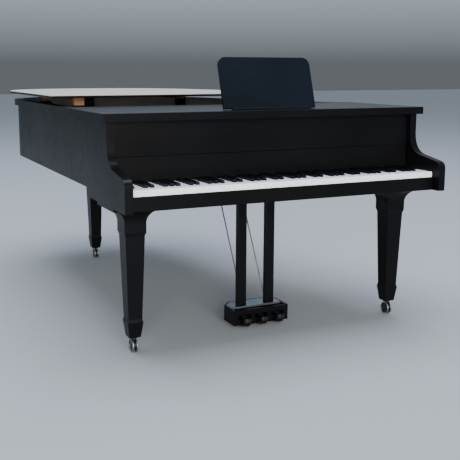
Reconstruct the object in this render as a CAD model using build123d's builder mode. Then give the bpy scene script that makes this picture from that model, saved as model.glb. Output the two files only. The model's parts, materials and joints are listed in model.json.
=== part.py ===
from build123d import *
from math import cos, radians, sin
import os

# Miniature grand piano at 1:12. Millimetres, +Z up, the player sits on the -Y side
# and the treble end is +X. The origin is on the floor under the middle of the whole
# model. Sketches use keyboard coordinates: x from the middle of the keyboard and
# y back from the front faces of the arms.

os.makedirs("parts", exist_ok=True)

# ---- case ----
case_width = 125.0        # over the two arms
case_length = 193.1       # front of the arms to the back of the tail
case_height = 30.4        # underside of the arms to the top of the deck
floor_z = 51.9            # underside of the key bed and of the arms
wall = 2.8                # thickness of the rim and of the arms
keybed_thick = 3.25
bottom_thick = 1.2        # board that closes the case from below
deck_thick = 2.7
deck_front = 15.5         # front edge of the deck
deck_overhang = 1.6       # deck and band beyond the case side
cheek_back = 40.5         # where the arms end and the bent rim begins
band_seam = 0.25          # open joint between the band and the deck
lining_thick = 0.3        # grey sheet inside the rim behind the deck
lining_drop = 0.3         # its top, below the top of the rim
seam = 0.1                # joint line between boards that meet
board_gap = 0.1           # a board that stands between the arms clears each by this
overlap = 1.0             # how far a cutting shape runs past what it cuts
edge_r = 0.25             # softened edge of a lacquered board

# ---- plan of the case, as shares of its width and length ----
tail_x = 0.1184 * case_width       # where the lines of the tail and the bent side cross
waist_x = 0.268 * case_width       # the bent side at its narrow waist
waist_y = 0.697 * case_length
bend_x = 0.2976 * case_width       # where the bent side turns out to the shoulder
bend_y = 0.478 * case_length
deck_back = 0.3433 * case_length
tail_r = 0.304 * case_width
waist_r = 0.62 * case_length
bend_r = 0.259 * case_length
shoulder_r = 10.0
shoulder_front = 2.0      # shoulder corner, forward of the back of the deck

# ---- arms: heights above their underside, depths from their fronts ----
nose_height = 8.2         # top of the upright front of an arm
nose_depth = 3.4          # where the rounded nose meets the gentle slope
nose_rise = 2.9
shelf_depth = 11.3        # where the slope turns up
shelf_height = 12.45
throat_height = 21.2      # where the curve becomes upright
throat_depth = 17.6

# ---- key well ----
slip_front = 3.3          # the key slip is set back from the arms
slip_thick = 1.6
slip_rise = 1.5           # top of the key slip above the key bed
key_front = 3.6
key_gap = 0.1             # underside of the keys above the key slip
white_height = 1.97
white_gap = 0.04
white_count = 52
white_back = 21.6
white_front_r = 0.15
keys_clear = 0.2          # between the end keys and the arms, past the board gap
black_width = 1.3
black_rise = 0.95         # black key above the white ones
black_front = 8.0
black_back = 19.25
black_slope = 0.7         # bevel of a black key's nose
black_round = 0.18
black_clear = 0.1         # between a black key and the whites beside it
panel_front = 19.6        # front faces of the fallboard and the front panel
panel_thick = 1.3
fall_height = 8.53
fall_over_keys = 0.4
fall_axis_rise = 1.3      # pins above the lower edge of the fallboard
fall_round = 0.15
fall_clear = 0.2          # fallboard to each arm
fall_pin_r = 0.35
fall_pin_hold = 2.0       # length of each pin inside the fallboard
fall_pin_reach = 1.0      # length of each pin inside the arm
pin_play = 0.05           # radial play of every turning pin
belly_front = 4.3         # cross wall that carries the back of the deck
belly_thick = 2.0

# ---- music desk ----
desk_width = 37.2
desk_height = 18.8
desk_thick = 1.1
desk_lean = 17.5          # degrees back from upright
desk_corner = 2.8
desk_foot_y = 20.95       # lower front edge of the panel
desk_axis_rise = 0.65     # hinge axis above the deck
desk_knuckle_r = 0.5
desk_knuckle_gap = 0.06   # knuckle behind the back of the panel
desk_foot = 0.7           # panel below its hinge axis
desk_pin_r = 0.25
lug_share = 0.3226        # hinge lugs from the middle, as a share of the width
lug_width = 2.0
knuckle_width = 1.5
knuckle_clear = 0.1
lip_inset = 2.7           # ends of the lip, in from the ends of the desk
lip_depth = 1.0
lip_height = 0.8
lip_clear = 0.35          # between the lip and the foot of the desk
desk_edge = 0.2

# ---- lid ----
lid_board = 0.8
lid_skin = 0.2            # pale sheet on the lid
skin_inset = 0.15         # its edge, in from the edge of the board
lid_overhang = 3.7        # beyond the case side
lid_behind_deck = 12.2    # front edge of the lid behind the back of the deck
lid_rise = 3.0            # open gap between the rim and the lid
lid_corner = 3.0
pad_size = 4.4
pad_height = 3.4
post_size = 4.2
stop_size = 4.0
stop_gap = 0.1

# ---- legs ----
leg_spread = 9.1          # middle of a front leg in from the side of the case
front_leg_y = 20.2
rear_leg_in = 40.0        # rear leg left of the tail corner
rear_leg_back = 33.1      # and forward of the tail
foot_half = 2.05
collar_half = 2.8
collar_z = 11.1
collar_bevel = 1.1
shaft_low = 2.5
shaft_high = 3.43
capital_half = 3.85
capital_bevel = 1.1       # slope from the shaft out to the capital
capital_height = 3.2
plinth_height = 1.05      # square block under the case
cove_r = leg_spread - capital_half
dowel_r = 1.2
dowel_in_leg = 4.0
dowel_in_bed = 2.2
block_size = 11.0
block_height = 4.0

# ---- casters ----
wheel_r = 2.4
wheel_thick = 0.45
wheel_face_r = 2.05       # black disc inside the steel ring of a wheel
wheel_recess = 0.12       # face of the disc behind the face of the ring
hub_r = 1.72              # black body between the two wheels
hub_width = 0.8
hub_gap = 0.08            # between the body and each wheel
neck_half = 0.4
axle_r = 0.3
axle_cap_r = 0.5
wheel_edge = 0.1
wheel_clear = 0.86        # top of the wheels to the foot of the leg
collar_plate_r = 1.5      # flange under the foot of the leg
collar_plate = 0.35
swivel_gap = 0.15
stem_r = 0.6
stem_length = 4.2
socket_wall = 0.3
socket_length = 4.6

# ---- lyre and pedals ----
lyre_inner = 4.0          # inner faces of the two posts, from the middle
lyre_post_width = 3.9
lyre_post_depth = 2.0
lyre_edge = 0.4
lyre_front = 30.95
box_end = 1.875           # box past the end of the outer slots
box_front = 26.3
box_depth = 12.2
box_wall = 0.8
box_base = 1.5
box_groove_z = 2.75       # shadow line between the base board and the walls
box_groove = 0.15
box_floor = 3.1
box_top = 7.3
box_corner = 3.4
plate_thick = 0.7
plate_setback = 0.35      # front edge of the plate before the front of the posts
pedal_pitch = 7.0
slot_width = 5.15
slot_low = 3.65
slot_high = 5.3
pedal_width = 2.0
pedal_thick = 0.6
pedal_z = 4.0
pedal_axis_y = 35.4
pedal_axle_r = 0.35
pedal_boss_r = 0.8
toe_width = 3.2
toe_front = 22.9
toe_back = 25.5
toe_corner = 1.2
toe_edge = 0.2
toe_drop = 0.75           # how far the toe hangs below the lever
scallop_r = 2.1
rod_r = 0.25
rod_x = 4.9
rod_top_y = 58.0
rod_low_z = 8.74
rod_seat = 0.9            # length of rod inside each hole

# ---- worked out from the sizes above ----
half = case_width / 2
inner = half - wall
deck_top = floor_z + case_height
deck_bottom = deck_top - deck_thick
bed_top = floor_z + keybed_thick
rim_bottom = bed_top + bottom_thick
slip_top = bed_top + slip_rise
key_bottom = slip_top + key_gap
white_top = key_bottom + white_height
fall_bottom = white_top + fall_over_keys
fall_axis_z = fall_bottom + fall_axis_rise
seam_z = fall_bottom + fall_height        # line between the fallboard and the panel
belly_y = deck_back - belly_front
lid_bottom = deck_top + lid_rise
lid_mid = lid_bottom + lid_board
lid_front = deck_back + lid_behind_deck
middle = (lid_overhang - deck_overhang) / 2
front = -(case_length + lid_overhang) / 2
foot_z = 2 * wheel_r + wheel_clear
lyre_x = lyre_inner + lyre_post_width / 2
box_half = pedal_pitch + slot_width / 2 + box_end
lyre_back = lyre_front + lyre_post_depth
panel_half = inner - board_gap
panel_mid = panel_front + panel_thick / 2
front_leg = (half - leg_spread, front_leg_y)
rear_leg = (tail_x - rear_leg_in, case_length - rear_leg_back)
post_places = [(-half + 11, lid_front + 12.7), (-half + 11, case_length - 44.9),
               (tail_x + 4.2, case_length - 42.1), (waist_x - 0.5, bend_y - 3.8)]
stop_place = (-half + 21, lid_front + 31.3)
lug_x = lug_share * desk_width
lip_width = desk_width - 2 * lip_inset
outline_corners = [(-half, case_length), (tail_x, case_length), (waist_x, waist_y),
                   (bend_x, bend_y), (half, deck_back - shoulder_front)]
outline_radii = [tail_r, tail_r, waist_r, bend_r, shoulder_r]


def level(z):
    """Horizontal sketch plane at height z: local x and y are keyboard coordinates."""
    return Plane((middle, front, z))


def side(x):
    """Upright plane across the keyboard at x: local x is y, local y is height."""
    return Plane((middle + x, front, 0), x_dir=(0, 1, 0), z_dir=(1, 0, 0))


def facing(y):
    """Upright plane facing the player at y: local x is x, local y is height."""
    return Plane((middle, front + y, 0), x_dir=(1, 0, 0), z_dir=(0, -1, 0))


def rod_foot(x):
    """Plane at the foot of a brace rod, looking up along the rod, and its length."""
    low = Vector(middle + x, front + lyre_back, rod_low_z)
    high = Vector(middle + x, front + rod_top_y, bed_top)
    return Plane(low, x_dir=(1, 0, 0), z_dir=high - low), (high - low).length


def save(piece, name):
    piece.part.label = name
    export_step(piece.part, f"parts/{name}.step")


def case_outline(grow, start):
    """Plan of the case from y = start back to the tail, grown by a distance."""
    with BuildSketch() as plan:
        with BuildLine():
            sides = FilletPolyline((-half, 0), *outline_corners, (half, 0),
                                   radius=outline_radii)
            Line(sides @ 0, sides @ 1)
        make_face()
        if grow:
            offset(amount=grow)
        with Locations((0, start + case_length)):
            Rectangle(4 * half, 2 * case_length, mode=Mode.INTERSECT)
    return plan.sketch


# ---------------------------------------------------------------- case
outside = case_outline(0, cheek_back)
hollow = case_outline(-wall, cheek_back - overlap)
between_rims = case_outline(-wall - board_gap, cheek_back - 2 * overlap)

with BuildPart() as rim:
    with BuildSketch(level(rim_bottom)):
        add(outside)
    extrude(amount=deck_top - rim_bottom)
    with BuildSketch(level(rim_bottom)):
        add(hollow)
    extrude(amount=deck_top - rim_bottom, mode=Mode.SUBTRACT)
save(rim, "rim")

band_outside = case_outline(deck_overhang, cheek_back + band_seam)
band_inside = case_outline(0, cheek_back - overlap)
with BuildPart() as rim_band:
    with BuildSketch(level(deck_bottom)):
        add(band_outside)
    extrude(amount=deck_thick)
    with BuildSketch(level(deck_bottom)):
        add(band_inside)
    extrude(amount=deck_thick, mode=Mode.SUBTRACT)
save(rim_band, "rim_band")

lining_outside = case_outline(-wall, deck_back + seam)
lining_inside = case_outline(-wall - lining_thick, deck_back)
with BuildPart() as rim_lining:
    with BuildSketch(level(rim_bottom)):
        add(lining_outside)
        add(lining_inside, mode=Mode.SUBTRACT)
    extrude(amount=deck_top - lining_drop - rim_bottom)
save(rim_lining, "rim_lining")

bottom_joint = 4.0        # the board's tongue runs this far across the arms' ends
with BuildPart() as bottom_board:
    with BuildSketch(level(bed_top)):
        add(outside)
        with Locations((0, cheek_back)):
            Rectangle(2 * panel_half, bottom_joint)
        with Locations(rear_leg):
            Circle(dowel_r, mode=Mode.SUBTRACT)
    extrude(amount=bottom_thick)
    for x in (-rod_x, rod_x):
        foot, length = rod_foot(x)
        with BuildSketch(foot.offset(length - rod_seat)):
            Circle(rod_r)
        extrude(amount=2 * rod_seat, mode=Mode.SUBTRACT)
save(bottom_board, "bottom_board")

with BuildPart() as belly_rail:
    with BuildSketch(level(rim_bottom)):
        with Locations((0, belly_y + belly_thick / 2)):
            Rectangle(2 * panel_half, belly_thick)
        add(between_rims, mode=Mode.INTERSECT)
    extrude(amount=deck_bottom - rim_bottom)
save(belly_rail, "belly_rail")

for hand, name in ((-1, "cheek_left"), (1, "cheek_right")):
    with BuildPart() as cheek:
        with BuildSketch(side(hand * (half - wall / 2))):
            with BuildLine():
                nose = Line((0, floor_z), (0, floor_z + nose_height))
                shelf = Line((nose_depth, floor_z + nose_height + nose_rise),
                             (shelf_depth, floor_z + shelf_height))
                Spline(nose @ 1, shelf @ 0, tangents=[(0, 1), shelf % 0])
                throat = Spline(shelf @ 1, (throat_depth, floor_z + throat_height),
                                tangents=[shelf % 1, (0, 1)])
                Polyline(throat @ 1, (throat_depth, deck_bottom), (cheek_back, deck_bottom),
                         (cheek_back, floor_z), (0, floor_z))
            make_face()
        extrude(amount=wall / 2, both=True)
        with BuildSketch(side(0)):
            with Locations((panel_mid, fall_axis_z)):
                Circle(fall_pin_r + pin_play)
        extrude(amount=hand * (inner + fall_pin_reach + seam), mode=Mode.SUBTRACT)
    save(cheek, name)

with BuildPart() as keybed:
    with BuildSketch(level(floor_z)):
        back = cheek_back - slip_front - slip_thick
        with Locations((0, cheek_back - back / 2)):
            Rectangle(2 * panel_half, back)
        with Locations((-front_leg[0], front_leg[1]), front_leg):
            Circle(dowel_r, mode=Mode.SUBTRACT)
    extrude(amount=dowel_in_bed)
    with BuildSketch(level(floor_z + dowel_in_bed)):
        with Locations((0, cheek_back - back / 2)):
            Rectangle(2 * panel_half, back)
    extrude(amount=keybed_thick - dowel_in_bed)
save(keybed, "keybed")

with BuildPart() as keyslip:
    with BuildSketch(facing(slip_front + slip_thick)):
        with Locations((0, (floor_z + slip_top) / 2)):
            Rectangle(2 * panel_half, slip_top - floor_z)
    extrude(amount=slip_thick)
    fillet(keyslip.faces().sort_by(Axis.Y)[0].edges().filter_by(Axis.X), edge_r)
save(keyslip, "keyslip")

with BuildPart() as front_deck:
    with BuildSketch(level(deck_bottom)):
        wide = cheek_back - deck_front
        with Locations((0, cheek_back - wide / 2)):
            Rectangle(2 * (half + deck_overhang), wide)
    extrude(amount=deck_thick)
    fillet(front_deck.edges().filter_by(Axis.Z).group_by(Axis.Y)[0], edge_r)
    fillet(front_deck.faces().sort_by(Axis.Z)[-1].edges().group_by(Axis.Y)[0], edge_r)
    with BuildSketch(level(deck_bottom)):
        with Locations((0, (cheek_back + deck_back - overlap) / 2)):
            Rectangle(2 * panel_half, deck_back - cheek_back + overlap)
        add(between_rims, mode=Mode.INTERSECT)
    extrude(amount=deck_thick)
save(front_deck, "front_deck")

with BuildPart() as front_panel:
    with BuildSketch(facing(panel_front + panel_thick)):
        with Locations((0, (seam_z + seam + deck_bottom) / 2)):
            Rectangle(2 * panel_half, deck_bottom - seam_z - seam)
    extrude(amount=panel_thick)
save(front_panel, "front_panel")

# ---------------------------------------------------------------- fallboard
fall_half = inner - fall_clear
with BuildPart() as fallboard:
    with BuildSketch(facing(panel_front + panel_thick)):
        with Locations((0, (fall_bottom + seam_z) / 2)):
            Rectangle(2 * fall_half, seam_z - fall_bottom)
    extrude(amount=panel_thick)
    fillet(fallboard.edges().filter_by(Axis.X).group_by(Axis.Z)[-1], fall_round)
    with BuildSketch(side(-fall_half - overlap)):
        with Locations((panel_mid, fall_axis_z)):
            Circle(fall_pin_r)
    extrude(amount=fall_pin_hold + overlap, mode=Mode.SUBTRACT)
    with BuildSketch(side(fall_half - fall_pin_hold)):
        with Locations((panel_mid, fall_axis_z)):
            Circle(fall_pin_r)
    extrude(amount=fall_pin_hold + overlap, mode=Mode.SUBTRACT)
save(fallboard, "fallboard")

with BuildPart() as fallboard_pins:
    for start in (-inner - fall_pin_reach, fall_half - fall_pin_hold):
        with BuildSketch(side(start)):
            with Locations((panel_mid, fall_axis_z)):
                Circle(fall_pin_r)
        extrude(amount=fall_pin_hold + fall_clear + fall_pin_reach)
save(fallboard_pins, "fallboard_pins")

# ---------------------------------------------------------------- keys
keys_width = 2 * (panel_half - keys_clear)
pitch = keys_width / white_count
black_after = "ACDFG"     # white keys with a black key on their right
letters = "ABCDEFG"


def black_places():
    """Middle of each black key, from the lowest A upwards."""
    places = []
    for number in range(white_count - 1):
        letter = letters[number % len(letters)]
        if letter in black_after:
            places.append(-keys_width / 2 + (number + 1) * pitch)
    return places


with BuildPart() as key_frame:
    with BuildSketch(level(bed_top)):
        depth = white_back - slip_front - slip_thick - seam
        with Locations((0, white_back - depth / 2)):
            Rectangle(keys_width, depth)
    extrude(amount=key_bottom - bed_top)
save(key_frame, "key_frame")

black_middle = (black_front + black_back) / 2
with BuildPart() as white_keys:
    with BuildSketch(level(key_bottom)):
        with Locations((0, (key_front + white_back) / 2)):
            with GridLocations(pitch, 0, white_count, 1):
                Rectangle(pitch - white_gap, white_back - key_front)
        with Locations([(x, black_middle + white_back / 2) for x in black_places()]):
            Rectangle(black_width + 2 * black_clear,
                      black_back - black_front + 2 * black_clear + white_back,
                      mode=Mode.SUBTRACT)
    extrude(amount=white_top - key_bottom)
    tips = white_keys.edges().filter_by(Axis.X).group_by(Axis.Y)[0].group_by(Axis.Z)[-1]
    fillet(tips, white_front_r)
save(white_keys, "white_keys")

with BuildPart() as black_keys:
    with BuildSketch(level(key_bottom)):
        with Locations([(x, black_middle) for x in black_places()]):
            Rectangle(black_width, black_back - black_front)
    extrude(amount=white_top + black_rise - key_bottom)
    noses = black_keys.edges().filter_by(Axis.X).group_by(Axis.Y)[0].group_by(Axis.Z)[-1]
    chamfer(noses, black_slope)
    fillet(black_keys.edges().filter_by(Axis.Y).group_by(Axis.Z)[-1], black_round)
save(black_keys, "black_keys")

# ---------------------------------------------------------------- music desk
# The desk turns on pins behind its panel. Its own plane has its origin on the pins'
# axis, local y up the panel and local z towards the player.
pin_back = desk_knuckle_r + desk_knuckle_gap     # pins behind the back of the panel
lean = radians(desk_lean)
desk_axis_y = (desk_foot_y + desk_foot * sin(lean) + (pin_back + desk_thick) * cos(lean))
desk_axis = (middle, front + desk_axis_y, deck_top + desk_axis_rise)
lean_plane = Plane(desk_axis, x_dir=(1, 0, 0), z_dir=(0, -1, 0)).rotated((-desk_lean, 0, 0))
knuckle_x = (lug_width + knuckle_width) / 2 + knuckle_clear
knuckles = [hand * lug_x + step for hand in (-1, 1) for step in (-knuckle_x, knuckle_x)]


def across_desk(x):
    """Upright plane across the desk's hinge at x, with its origin on the axis."""
    return Plane((desk_axis[0] + x, desk_axis[1], desk_axis[2]), x_dir=(0, 1, 0), z_dir=(1, 0, 0))


with BuildPart() as music_desk:
    with BuildSketch(lean_plane.offset(pin_back)):
        with Locations((0, desk_height / 2 - desk_foot)):
            board = Rectangle(desk_width, desk_height)
        fillet(board.vertices().group_by(Axis.Y)[-1], desk_corner)
    extrude(amount=desk_thick)
    fillet(music_desk.faces().sort_by(Axis.Y)[0].edges(), desk_edge)
save(music_desk, "music_desk")

with BuildPart() as desk_knuckles:
    for x in knuckles:
        with BuildSketch(across_desk(x)):
            Circle(desk_knuckle_r)
            with Locations(Rotation(0, 0, -desk_lean)):
                with Locations((-pin_back / 2, 0)):
                    Rectangle(pin_back, 2 * desk_knuckle_r)
            Circle(desk_pin_r, mode=Mode.SUBTRACT)
        extrude(amount=knuckle_width / 2, both=True)
save(desk_knuckles, "desk_knuckles")

with BuildPart() as desk_pins:
    for hand in (-1, 1):
        with BuildSketch(across_desk(hand * lug_x)):
            Circle(desk_pin_r)
        extrude(amount=knuckle_x + knuckle_width / 2, both=True)
save(desk_pins, "desk_pins")

with BuildPart() as desk_lugs:
    for hand in (-1, 1):
        with BuildSketch(side(hand * lug_x)):
            with Locations((desk_axis_y, deck_top + desk_axis_rise / 2)):
                Rectangle(2 * desk_knuckle_r, desk_axis_rise)
            with Locations((desk_axis_y, deck_top + desk_axis_rise)):
                Circle(desk_knuckle_r)
                Circle(desk_pin_r + pin_play, mode=Mode.SUBTRACT)
        extrude(amount=lug_width / 2, both=True)
save(desk_lugs, "desk_lugs")

with BuildPart() as desk_lip:
    with BuildSketch(level(deck_top)):
        with Locations((0, desk_foot_y - lip_clear - lip_depth / 2)):
            Rectangle(lip_width, lip_depth)
    extrude(amount=lip_height)
    fillet(desk_lip.edges().filter_by(Axis.X).group_by(Axis.Z)[-1], edge_r)
save(desk_lip, "desk_lip")


# ---------------------------------------------------------------- lid
lid_plan = case_outline(lid_overhang, lid_front)
skin_plan = case_outline(lid_overhang - skin_inset, lid_front + skin_inset)
with BuildPart() as lid:
    with BuildSketch(level(lid_bottom)):
        add(lid_plan)
    extrude(amount=lid_board)
    fillet(lid.edges().filter_by(Axis.Z).group_by(Axis.Y)[0].sort_by(Axis.X)[-1], lid_corner)
    fillet(lid.faces().sort_by(Axis.Z)[0].edges(), edge_r)
save(lid, "lid")

with BuildPart() as lid_top_panel:
    with BuildSketch(level(lid_mid)):
        add(skin_plan)
    extrude(amount=lid_skin)
    fillet(lid_top_panel.edges().filter_by(Axis.Z).group_by(Axis.Y)[0].sort_by(Axis.X)[-1],
           lid_corner)
save(lid_top_panel, "lid_top_panel")

with BuildPart() as lid_posts:
    with BuildSketch(level(rim_bottom)):
        with Locations(post_places):
            Rectangle(post_size, post_size)
    extrude(amount=lid_bottom - pad_height - rim_bottom)
    with BuildSketch(level(rim_bottom)):
        with Locations(stop_place):
            Rectangle(stop_size, stop_size)
    extrude(amount=lid_bottom - stop_gap - rim_bottom)
save(lid_posts, "lid_posts")

with BuildPart() as post_pads:
    with BuildSketch(level(lid_bottom - pad_height)):
        with Locations(post_places):
            Rectangle(pad_size, pad_size)
    extrude(amount=pad_height)
    fillet(post_pads.edges().filter_by(Axis.Z), edge_r)
save(post_pads, "post_pads")


# ---------------------------------------------------------------- legs
def leg_profile(top):
    """Both halves of a leg seen square on, from the foot up to the block on top."""
    plinth_z = top - plinth_height
    capital_z = plinth_z - cove_r - capital_height
    with BuildSketch() as profile:
        with BuildLine():
            shape = Polyline((0, foot_z), (foot_half, foot_z), (collar_half, collar_z),
                             (shaft_low, collar_z + collar_bevel),
                             (shaft_high, capital_z - capital_bevel),
                             (capital_half, capital_z), (capital_half, plinth_z - cove_r))
            cove = RadiusArc(shape @ 1, (leg_spread, plinth_z), cove_r)
            Polyline(cove @ 1, (leg_spread, top), (0, top), (0, foot_z))
        make_face()
        mirror(about=Plane.YZ)
    return profile.sketch


def build_leg(place, top, name):
    """A square leg: the same profile cut from the front and from the side."""
    x, y = place
    reach = leg_spread + overlap
    profile = leg_profile(top)
    with BuildPart() as leg:
        with BuildSketch(facing(y)):
            with Locations((x, 0)):
                add(profile)
        extrude(amount=reach, both=True)
        with BuildSketch(side(x)):
            with Locations((y, 0)):
                add(profile)
        extrude(amount=reach, both=True, mode=Mode.INTERSECT)
        with BuildSketch(level(top - dowel_in_leg)):
            with Locations(place):
                Circle(dowel_r)
        extrude(amount=dowel_in_leg, mode=Mode.SUBTRACT)
        with BuildSketch(level(foot_z)):
            with Locations(place):
                Circle(stem_r + pin_play + socket_wall)
        extrude(amount=socket_length, mode=Mode.SUBTRACT)
    save(leg, name)


legs = {"front_left": (-front_leg[0], front_leg[1]), "front_right": front_leg,
        "rear": rear_leg}
leg_tops = {"front_left": floor_z, "front_right": floor_z, "rear": bed_top}
for corner, place in legs.items():
    build_leg(place, leg_tops[corner], f"leg_{corner}")

with BuildPart() as leg_dowels:
    for corner, place in legs.items():
        reach = bottom_thick if corner == "rear" else dowel_in_bed
        with BuildSketch(level(leg_tops[corner] - dowel_in_leg)):
            with Locations(place):
                Circle(dowel_r)
        extrude(amount=dowel_in_leg + reach)
save(leg_dowels, "leg_dowels")

with BuildPart() as rear_leg_block:
    with BuildSketch(level(rim_bottom)):
        with Locations(rear_leg):
            Rectangle(block_size, block_size)
    extrude(amount=block_height)
save(rear_leg_block, "rear_leg_block")

# ---------------------------------------------------------------- casters
with BuildPart() as caster_sockets:
    with BuildSketch(level(foot_z)):
        with Locations(list(legs.values())):
            Circle(stem_r + pin_play + socket_wall)
            Circle(stem_r + pin_play, mode=Mode.SUBTRACT)
    extrude(amount=socket_length)
save(caster_sockets, "caster_sockets")

hub_half = hub_width / 2
wheel_in = hub_half + hub_gap
wheel_out = wheel_in + wheel_thick
flange_z = foot_z - swivel_gap - collar_plate
for corner, (x, y) in legs.items():
    with BuildPart() as caster_body:
        with BuildSketch(side(x)):
            with Locations((y, wheel_r)):
                Circle(hub_r)
            with Locations((y, (wheel_r + flange_z) / 2)):
                Rectangle(2 * neck_half, flange_z - wheel_r)
            with Locations((y, wheel_r)):
                Circle(axle_r + pin_play, mode=Mode.SUBTRACT)
        extrude(amount=hub_half, both=True)
        with BuildSketch(level(flange_z)):
            with Locations((x, y)):
                Circle(collar_plate_r)
        extrude(amount=collar_plate)
        with BuildSketch(level(flange_z + collar_plate)):
            with Locations((x, y)):
                Circle(stem_r)
        extrude(amount=stem_length)
    save(caster_body, f"caster_body_{corner}")

    with BuildPart() as wheels:
        for hand in (-1, 1):
            with BuildSketch(side(x + hand * wheel_in)):
                with Locations((y, wheel_r)):
                    Circle(wheel_r)
                    Circle(wheel_face_r, mode=Mode.SUBTRACT)
            extrude(amount=hand * wheel_thick)
        rims = wheels.edges().filter_by(GeomType.CIRCLE).sort_by(Edge.length)[-4:]
        fillet(rims, wheel_edge)
    save(wheels, f"caster_wheels_{corner}")

    with BuildPart() as discs:
        for hand in (-1, 1):
            with BuildSketch(side(x + hand * wheel_in)):
                with Locations((y, wheel_r)):
                    Circle(wheel_face_r)
                    Circle(axle_r, mode=Mode.SUBTRACT)
            extrude(amount=hand * (wheel_thick - wheel_recess))
    save(discs, f"caster_discs_{corner}")

    with BuildPart() as axle:
        with BuildSketch(side(x)):
            with Locations((y, wheel_r)):
                Circle(axle_r)
        extrude(amount=wheel_out, both=True)
        for start in (-wheel_out, wheel_out - wheel_recess):
            with BuildSketch(side(x + start)):
                with Locations((y, wheel_r)):
                    Circle(axle_cap_r)
            extrude(amount=wheel_recess)
    save(axle, f"caster_axle_{corner}")

# ---------------------------------------------------------------- lyre and pedals
box_back = box_front + box_depth
pedal_xs = {"left": -pedal_pitch, "middle": 0, "right": pedal_pitch}
pedal_mid_z = pedal_z + pedal_thick / 2


for hand, name in ((-1, "lyre_post_left"), (1, "lyre_post_right")):
    with BuildPart() as post:
        with BuildSketch(level(box_top)):
            with Locations((hand * lyre_x, lyre_front + lyre_post_depth / 2)):
                Rectangle(lyre_post_width, lyre_post_depth)
        extrude(amount=floor_z - box_top)
        fillet(post.edges().filter_by(Axis.Z), lyre_edge)
        foot, length = rod_foot(hand * rod_x)
        with BuildSketch(foot.offset(-rod_seat)):
            Circle(rod_r)
        extrude(amount=3 * rod_seat, mode=Mode.SUBTRACT)
    save(post, name)

with BuildPart() as brace_rods:
    for x in (-rod_x, rod_x):
        foot, length = rod_foot(x)
        with BuildSketch(foot.offset(-rod_seat)):
            Circle(rod_r)
        extrude(amount=length + 2 * rod_seat)
save(brace_rods, "brace_rods")

def tray_plan():
    """Plan of the pedal box, with its two back corners cut off."""
    with BuildSketch() as plan:
        with Locations((0, (box_front + box_back) / 2)):
            tray = Rectangle(2 * box_half, box_depth)
        chamfer(tray.vertices().group_by(Axis.Y)[-1], box_corner)
    return plan.sketch


tray = tray_plan()
with BuildPart() as pedal_box:
    with BuildSketch(level(box_base)):
        add(tray)
        with Locations([(x, box_front) for x in pedal_xs.values()]):
            Circle(scallop_r)
    extrude(amount=box_groove_z - box_base)
    with BuildSketch(level(box_groove_z)):
        add(tray)
        offset(amount=-box_groove)
    extrude(amount=box_groove)
    with BuildSketch(level(box_groove_z + box_groove)):
        add(tray)
    extrude(amount=box_top - box_groove_z - box_groove)
    with BuildSketch(level(box_floor)):
        add(tray)
        offset(amount=-box_wall)
    extrude(amount=box_top - box_floor, mode=Mode.SUBTRACT)
    with BuildSketch(facing(box_front + box_wall)):
        with Locations([(x, (slot_low + slot_high) / 2) for x in pedal_xs.values()]):
            Rectangle(slot_width, slot_high - slot_low)
    extrude(amount=box_wall, mode=Mode.SUBTRACT)
    with BuildSketch(side(0)):
        with Locations((pedal_axis_y, pedal_mid_z)):
            Circle(pedal_axle_r)
    extrude(amount=box_half, both=True, mode=Mode.SUBTRACT)
save(pedal_box, "pedal_box")

with BuildPart() as pedal_box_plate:
    with BuildSketch(level(box_top - plate_thick)):
        add(tray)
        offset(amount=-box_wall)
        with Locations((0, lyre_front - plate_setback - box_depth)):
            Rectangle(4 * box_half, 2 * box_depth, mode=Mode.SUBTRACT)
    extrude(amount=plate_thick)
save(pedal_box_plate, "pedal_box_plate")

toe_r = (toe_back - toe_front) / 2
for name, x in pedal_xs.items():
    with BuildPart() as pedal:
        with BuildSketch(level(pedal_z)):
            with Locations((x, (toe_back + pedal_axis_y) / 2)):
                Rectangle(pedal_width, pedal_axis_y - toe_back + toe_r)
        extrude(amount=pedal_thick)
        with BuildSketch(level(pedal_z - toe_drop)):
            with Locations((x, (toe_front + toe_back) / 2)):
                RectangleRounded(toe_width, toe_back - toe_front, toe_corner)
        extrude(amount=pedal_thick + toe_drop)
        fillet(pedal.faces().group_by(Axis.Y)[0].sort_by(Axis.Z)[-1].edges().group_by(Axis.Z)[-1], toe_edge)
        with BuildSketch(side(x)):
            with Locations((pedal_axis_y, pedal_mid_z)):
                Circle(pedal_boss_r)
        extrude(amount=pedal_width / 2, both=True)
        with BuildSketch(side(x)):
            with Locations((pedal_axis_y, pedal_mid_z)):
                Circle(pedal_axle_r + pin_play)
        extrude(amount=pedal_width, both=True, mode=Mode.SUBTRACT)
    save(pedal, f"pedal_{name}")

with BuildPart() as pedal_axle:
    with BuildSketch(side(0)):
        with Locations((pedal_axis_y, pedal_mid_z)):
            Circle(pedal_axle_r)
    extrude(amount=box_half, both=True)
save(pedal_axle, "pedal_axle")
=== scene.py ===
import json
import math

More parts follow.
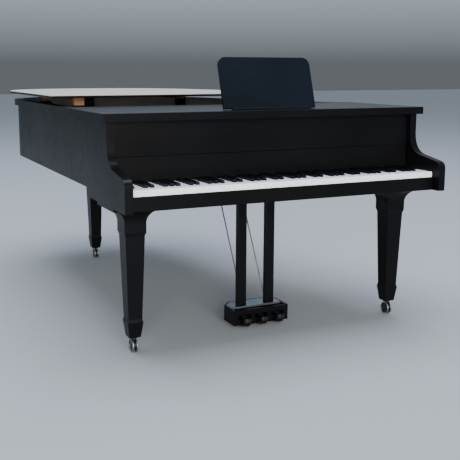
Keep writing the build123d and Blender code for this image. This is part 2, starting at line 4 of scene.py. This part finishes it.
import bpy
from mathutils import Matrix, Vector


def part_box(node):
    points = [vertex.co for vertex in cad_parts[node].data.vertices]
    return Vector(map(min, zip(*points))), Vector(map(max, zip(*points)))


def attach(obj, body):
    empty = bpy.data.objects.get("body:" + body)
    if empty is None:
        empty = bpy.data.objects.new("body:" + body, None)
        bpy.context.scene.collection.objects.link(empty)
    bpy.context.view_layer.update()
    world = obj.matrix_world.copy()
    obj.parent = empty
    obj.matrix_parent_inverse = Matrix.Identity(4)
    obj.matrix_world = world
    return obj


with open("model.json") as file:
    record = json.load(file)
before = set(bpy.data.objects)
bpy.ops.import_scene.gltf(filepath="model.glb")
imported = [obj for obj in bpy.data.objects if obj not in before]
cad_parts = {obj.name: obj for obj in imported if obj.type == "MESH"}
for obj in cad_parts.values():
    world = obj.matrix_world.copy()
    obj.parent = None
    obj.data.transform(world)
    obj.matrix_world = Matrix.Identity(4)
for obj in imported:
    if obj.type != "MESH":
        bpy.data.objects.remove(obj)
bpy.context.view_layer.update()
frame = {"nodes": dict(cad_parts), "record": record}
nodes = frame["nodes"]
scene = bpy.context.scene
MM = 0.001
NOISE_LOW, NOISE_HIGH = 0.3, 0.7  # nearly all values of a noise pattern lie between these
SUM_LOW, SUM_HIGH = 0.7, 1.3      # and nearly all sums of two patterns between these
KEY_STEP = 2.2906                 # one white key and its gap, in millimetres


# ---------------------------------------------------------------- colours, nodes and objects
def linear(code):
    """An sRGB hex value as linear red, green, blue and alpha."""
    parts = [int(code[i:i + 2], 16) / 255 for i in (1, 3, 5)]
    return [p / 12.92 if p <= 0.04045 else ((p + 0.055) / 1.055) ** 2.4 for p in parts] + [1]


def node(tree, kind, settings=None, **inputs):
    """Adds a node with its settings. An input is a value or the output that feeds it;
    its keyword is the socket's name with underscores, or s0, s1 ... for its number."""
    made = tree.nodes.new(kind)
    for key, value in (settings or {}).items():
        setattr(made, key, value)
    for key, value in inputs.items():
        if key[0] == "s" and key[1:].isdigit():
            socket = made.inputs[int(key[1:])]
        else:
            socket = made.inputs[key.replace("_", " ")]
        if isinstance(value, bpy.types.NodeSocket):
            tree.links.new(value, socket)
        else:
            socket.default_value = value
    return made


def surface(name, **constants):
    """A new material: its node tree, its shader and its object coordinates."""
    material = bpy.data.materials.new(name)
    material.use_nodes = True
    tree = material.node_tree
    shader = tree.nodes["Principled BSDF"]
    for key, value in constants.items():
        shader.inputs[key.replace("_", " ")].default_value = value
    place = node(tree, "ShaderNodeTexCoord").outputs["Object"]
    return material, tree, shader, place


def pattern(tree, place, lengths, detail=2.0, rough=0.5):
    """Soft noise from 0 to 1. One blob is about as long as the three lengths, in
    millimetres along x, y and z."""
    scale = [1 / (length * MM) for length in lengths]
    units = node(tree, "ShaderNodeMapping", Vector=place, Scale=scale)
    return node(tree, "ShaderNodeTexNoise", Vector=units.outputs[0], Scale=1.0, Detail=detail,
                Roughness=rough).outputs["Fac"]


def coat(tree, shader, tone, colours, gloss, rough, relief, depth,
         spread=(NOISE_LOW, NOISE_HIGH)):
    """Lets three patterns shape a shader: the tone carries the colour from the first hex
    value to the second, the gloss carries the roughness between two values over its
    spread, and the relief stands up by a depth in millimetres."""
    colour = node(tree, "ShaderNodeMix", {"data_type": "RGBA"}, s0=tone,
                  s6=linear(colours[0]), s7=linear(colours[1]))
    matt = node(tree, "ShaderNodeMapRange", Value=gloss, s1=spread[0], s2=spread[1],
                s3=rough[0], s4=rough[1])
    bump = node(tree, "ShaderNodeBump", Height=relief, Distance=depth * MM, Strength=1.0)
    tree.links.new(colour.outputs[2], shader.inputs["Base Color"])
    tree.links.new(matt.outputs[0], shader.inputs["Roughness"])
    tree.links.new(bump.outputs[0], shader.inputs["Normal"])


def added(name, data):
    """A new object in the scene, made of the data."""
    thing = bpy.data.objects.new(name, data)
    scene.collection.objects.link(thing)
    return thing


# ---------------------------------------------------------------- finishes
def sprayed_lacquer(name, colours, sanding):
    """Satin lacquer sprayed on board: the fine orange peel of the spray gun, a slow
    drift in how matt it dried, and faint lines where the board was sanded."""
    material, tree, shader, place = surface(name, IOR=1.5, Specular_IOR_Level=0.1)
    peel = pattern(tree, place, (0.7, 0.7, 0.7), 3.0)
    drift = pattern(tree, place, (26, 26, 26), 3.0)
    lines = pattern(tree, place, (90, sanding, sanding))
    tone = node(tree, "ShaderNodeMapRange", Value=drift, s1=NOISE_LOW, s2=NOISE_HIGH)
    gloss = node(tree, "ShaderNodeMath", {"operation": "ADD"}, s0=drift, s1=lines)
    relief = node(tree, "ShaderNodeMath", {"operation": "MULTIPLY_ADD"}, s0=lines, s1=3.0,
                  s2=peel)
    coat(tree, shader, tone.outputs[0], colours, gloss.outputs[0], (0.30, 0.38),
         relief.outputs[0], 0.002, spread=(SUM_LOW, SUM_HIGH))
    return material


def moulded_keys(name, colours, rough, shine):
    """Moulded acrylic: a smooth skin with faint sink marks. The tone differs a touch in
    bands one key wide, as in keys cut from more than one sheet."""
    material, tree, shader, place = surface(name, IOR=1.49, Specular_IOR_Level=shine)
    band = node(tree, "ShaderNodeVectorMath", {"operation": "SNAP"}, s0=place,
                s1=(KEY_STEP * MM, 1.0, 1.0))
    tone = node(tree, "ShaderNodeTexWhiteNoise", Vector=band.outputs[0]).outputs["Value"]
    sink = pattern(tree, place, (2.2, 5.0, 2.2), 1.0)
    coat(tree, shader, tone, colours, sink, (rough - 0.05, rough + 0.05), sink, 0.01)
    return material


def grained_wood(name, colours, along, across, rough, depth):
    """Sliced or planed wood: long thin fibres that run left to right and give a fine relief,
    and broader bands of early and late growth."""
    material, tree, shader, place = surface(name, IOR=1.45)
    fibres = pattern(tree, place, (along, across, across), 4.0, 0.6)
    bands = pattern(tree, place, (along * 2, across * 6, across * 6))
    growth = node(tree, "ShaderNodeMapRange", Value=bands, s1=NOISE_LOW, s2=NOISE_HIGH,
                  s4=0.5)
    tone = node(tree, "ShaderNodeMath", {"operation": "MULTIPLY_ADD"}, s0=fibres, s1=0.5,
                s2=growth.outputs[0])
    coat(tree, shader, tone.outputs[0], colours, fibres, (rough - 0.08, rough + 0.08),
         fibres, depth)
    return material


def worked_metal(name, colours, rough, along, across, axis):
    """Drawn, rolled or filed metal: fine scratches along one axis and a slow tarnish."""
    material, tree, shader, place = surface(name, Metallic=1.0)
    lengths = {"X": (along, across, across), "Z": (across, across, along)}[axis]
    scratches = pattern(tree, place, lengths, 3.0)
    tarnish = pattern(tree, place, (3, 3, 3))
    tone = node(tree, "ShaderNodeMapRange", Value=tarnish, s1=NOISE_LOW, s2=NOISE_HIGH)
    coat(tree, shader, tone.outputs[0], colours, scratches, (rough - 0.08, rough + 0.1),
         scratches, 0.004)
    return material


def smooth_black(name, colours, rough):
    """A smooth black skin, enamel stoved on metal or moulded nylon: a fine dust texture
    and a slight change of gloss where it has been handled."""
    material, tree, shader, place = surface(name, IOR=1.5)
    dust = pattern(tree, place, (0.35, 0.35, 0.35))
    wear = pattern(tree, place, (4, 4, 4))
    tone = node(tree, "ShaderNodeMapRange", Value=wear, s1=NOISE_LOW, s2=NOISE_HIGH)
    coat(tree, shader, tone.outputs[0], colours, wear, (rough - 0.08, rough + 0.08),
         dust, 0.006)
    return material


def painted_light_lining(name, colours):
    """A matt grey lining whose pale tone is painted light, standing in for light that the lamps
    do not bring onto the shaded wall inside the rim; a dry speckle and a slow cloudiness."""
    material, tree, shader, place = surface(name, IOR=1.45)
    speckle = pattern(tree, place, (0.5, 0.5, 0.5), 3.0)
    cloud = pattern(tree, place, (18, 18, 18), 3.0)
    tone = node(tree, "ShaderNodeMapRange", Value=cloud, s1=NOISE_LOW, s2=NOISE_HIGH)
    coat(tree, shader, tone.outputs[0], colours, speckle, (0.7, 0.9), speckle, 0.02)
    return material


filed_steel = worked_metal("filed_steel", ("#8d9093", "#b4b6b8"), 0.32, 2.5, 0.12, "Z")
drawn_wire = worked_metal("drawn_steel_wire", ("#84878a", "#a5a8ab"), 0.34, 6.0, 0.1, "Z")
finishes = {
    "black_lacquer": sprayed_lacquer("satin_black_lacquer", ("#09090a", "#0c0c0d"), 3.0),
    "desk_lacquer": sprayed_lacquer("satin_blue_black_lacquer", ("#0c1117", "#0f151d"), 2.0),
    "white_key": moulded_keys("white_moulded_acrylic", ("#f1f2f4", "#f9f9fb"), 0.28, 0.5),
    "black_key": moulded_keys("black_moulded_acrylic", ("#05070b", "#080b12"), 0.34, 0.08),
    "pale_sheet": grained_wood("pale_lime_veneer", ("#a9a59b", "#bfbbb1"), 60, 0.9, 0.5, 0.01),
    "bare_wood": grained_wood("planed_beech", ("#7c5236", "#b98a63"), 9, 0.35, 0.72, 0.03),
    "steel": filed_steel,
    "plate_metal": worked_metal("rolled_aluminium", ("#8494a2", "#9fadb9"), 0.38, 8.0, 0.15, "X"),
    "brass": worked_metal("turned_brass", ("#8f6f35", "#b4914e"), 0.3, 1.5, 0.1, "X"),
    "black_metal": smooth_black("stoved_black_enamel", ("#0c0d0e", "#131416"), 0.34),
    "caster_plastic": smooth_black("moulded_black_nylon", ("#0a0a0b", "#121213"), 0.45),
    "caster_gloss": smooth_black("polished_black_nylon", ("#080809", "#0c0c0d"), 0.16),
    # the lining's pale grey is painted light on the shaded inner wall of the rim
    "grey_primer": painted_light_lining("grey_lining_with_painted_light", ("#a8a8a6", "#b6b6b4")),
}
for part in frame["record"]["subparts"]:
    mesh = nodes[part["node"]].data
    mesh.materials.clear()
    mesh.materials.append(finishes[part["material_slot"]])
nodes["brace_rods"].data.materials[0] = drawn_wire


# ---------------------------------------------------------------- screws under the case
def screw_heads():
    """Node group: a slotted pan head on every point, facing down, each slot turned its
    own way."""
    crown_share, slot_length = 0.8, 3.0  # both as shares of the head's radius
    group = bpy.data.node_groups.new("slotted_screw_heads", "GeometryNodeTree")
    face = group.interface
    face.new_socket("Places", in_out="INPUT", socket_type="NodeSocketGeometry")
    for label in ("Head radius", "Head height", "Slot width"):
        face.new_socket(label, in_out="INPUT", socket_type="NodeSocketFloat")
    face.new_socket("Metal", in_out="INPUT", socket_type="NodeSocketMaterial")
    face.new_socket("Screws", in_out="OUTPUT", socket_type="NodeSocketGeometry")
    given = node(group, "NodeGroupInput").outputs
    crown = node(group, "ShaderNodeMath", {"operation": "MULTIPLY"}, s0=given["Head radius"],
                 s1=crown_share)
    head = node(group, "GeometryNodeMeshCone", Vertices=20, Radius_Top=crown.outputs[0],
                Radius_Bottom=given["Head radius"], Depth=given["Head height"])
    long = node(group, "ShaderNodeMath", {"operation": "MULTIPLY"}, s0=given["Head radius"],
                s1=slot_length)
    size = node(group, "ShaderNodeCombineXYZ", X=long.outputs[0], Y=given["Slot width"],
                Z=given["Head height"])
    lift = node(group, "ShaderNodeCombineXYZ", Z=given["Head height"])
    blade = node(group, "GeometryNodeMeshCube", Size=size.outputs[0])
    raised = node(group, "GeometryNodeTransform", Geometry=blade.outputs[0],
                  Translation=lift.outputs[0])
    slotted = node(group, "GeometryNodeMeshBoolean", {"operation": "DIFFERENCE"},
                   s0=head.outputs[0], s1=raised.outputs[0])
    turn = node(group, "FunctionNodeRandomValue", {"data_type": "FLOAT_VECTOR"},
                s0=(math.pi, 0.0, 0.0), s1=(math.pi, 0.0, math.pi), Seed=3)
    spread = node(group, "GeometryNodeInstanceOnPoints", Points=given["Places"],
                  Instance=slotted.outputs[0], Rotation=turn.outputs[0])
    real = node(group, "GeometryNodeRealizeInstances", Geometry=spread.outputs[0])
    coated = node(group, "GeometryNodeSetMaterial", Geometry=real.outputs[0],
                  Material=given["Metal"])
    node(group, "NodeGroupOutput", Screws=coated.outputs[0])
    return group


# One row runs up the bass side under the rim's wall, the other along the cross wall.
row_count = 6
rim_wall = 2.8 * MM
side_start = 12 * MM
side_step = 18 * MM
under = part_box("bottom_board")[0][2]
rim_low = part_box("rim")[0]
rail_low, rail_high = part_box("belly_rail")
side_x = rim_low[0] + rim_wall / 2
side_row = [(side_x, rim_low[1] + side_start + side_step * i, under) for i in range(row_count)]
rail_y = (rail_low[1] + rail_high[1]) / 2
rail_step = (rail_high[0] - rail_low[0]) / row_count
rail_row = [(rail_low[0] + rail_step * (i + 0.5), rail_y, under) for i in range(row_count)]
places = bpy.data.meshes.new("bottom_board_screws")
places.from_pydata(side_row + rail_row, [], [])
screws = added("bottom_board_screws", places)
heads = screws.modifiers.new("heads", "NODES")
heads.node_group = screw_heads()
chosen = {"Head radius": 0.75 * MM, "Head height": 0.3 * MM, "Slot width": 0.22 * MM,
          "Metal": filed_steel}
for item in heads.node_group.interface.items_tree:
    if item.name in chosen:
        heads[item.identifier] = chosen[item.name]
ready = screws.evaluated_get(bpy.context.evaluated_depsgraph_get())
screws.data = bpy.data.meshes.new_from_object(ready)
screws.modifiers.clear()
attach(screws, "case")

# ---------------------------------------------------------------- floor, light and camera
reach = 3.0
floor_mesh = bpy.data.meshes.new("floor")
floor_mesh.from_pydata([(-reach, -reach, 0), (reach, -reach, 0), (reach, reach, 0),
                        (-reach, reach, 0)], [], [(0, 1, 2, 3)])
floor = added("floor", floor_mesh)
paper = surface("matt_white_paper", Roughness=0.9, Base_Color=linear("#a3a5a7"))[0]
floor_mesh.materials.append(paper)

world = bpy.data.worlds.new("studio")
scene.world = world
world.use_nodes = True
sky = world.node_tree
horizon, clear = 0.01, 0.12  # how steeply a ray rises where the backdrop's blend starts and ends
ray = node(sky, "ShaderNodeTexCoord").outputs["Generated"]
rise = node(sky, "ShaderNodeSeparateXYZ", Vector=ray).outputs["Z"]
upward = node(sky, "ShaderNodeMapRange", Value=rise, s1=horizon, s2=clear)
backdrop = node(sky, "ShaderNodeMix", {"data_type": "RGBA"}, s0=upward.outputs[0],
                s6=linear("#686d71"), s7=linear("#b9c8d6"))
sky.links.new(backdrop.outputs[2], sky.nodes["Background"].inputs["Color"])
sky.nodes["Background"].inputs["Strength"].default_value = 0.9


def soft_box(name, place, aim, width, height, watts, tint):
    """A studio lamp with a rectangular face at a place, turned to a point."""
    lamp = bpy.data.lights.new(name, "AREA")
    lamp.shape = "RECTANGLE"
    lamp.size = width
    lamp.size_y = height
    lamp.energy = watts
    lamp.color = linear(tint)[:3]
    box = added(name, lamp)
    box.location = place
    look = Vector(aim) - Vector(place)
    box.rotation_euler = look.to_track_quat("-Z", "Y").to_euler()


soft_box("overhead", (0.0, 0.05, 0.75), (0, 0, 0.05), 0.7, 0.7, 9.0, "#e4ecff")
soft_box("front", (-0.25, -0.95, 0.23), (0, 0, 0.08), 0.7, 0.44, 13.0, "#fdfaf5")

camera_data = bpy.data.cameras.new("view")
camera_data.sensor_width = 36.0
camera_data.lens = 61.67
camera_data.shift_x = 0.0499
camera_data.shift_y = -0.0768
camera_data.clip_start = 0.01
camera = added("view", camera_data)
tilt_down, roll, heading = 0.1558, -0.0011, -0.4289
camera.location = (-0.13769, -0.32569, 0.09586)
camera.rotation_euler = (math.pi / 2 - tilt_down, roll, heading)
scene.camera = camera
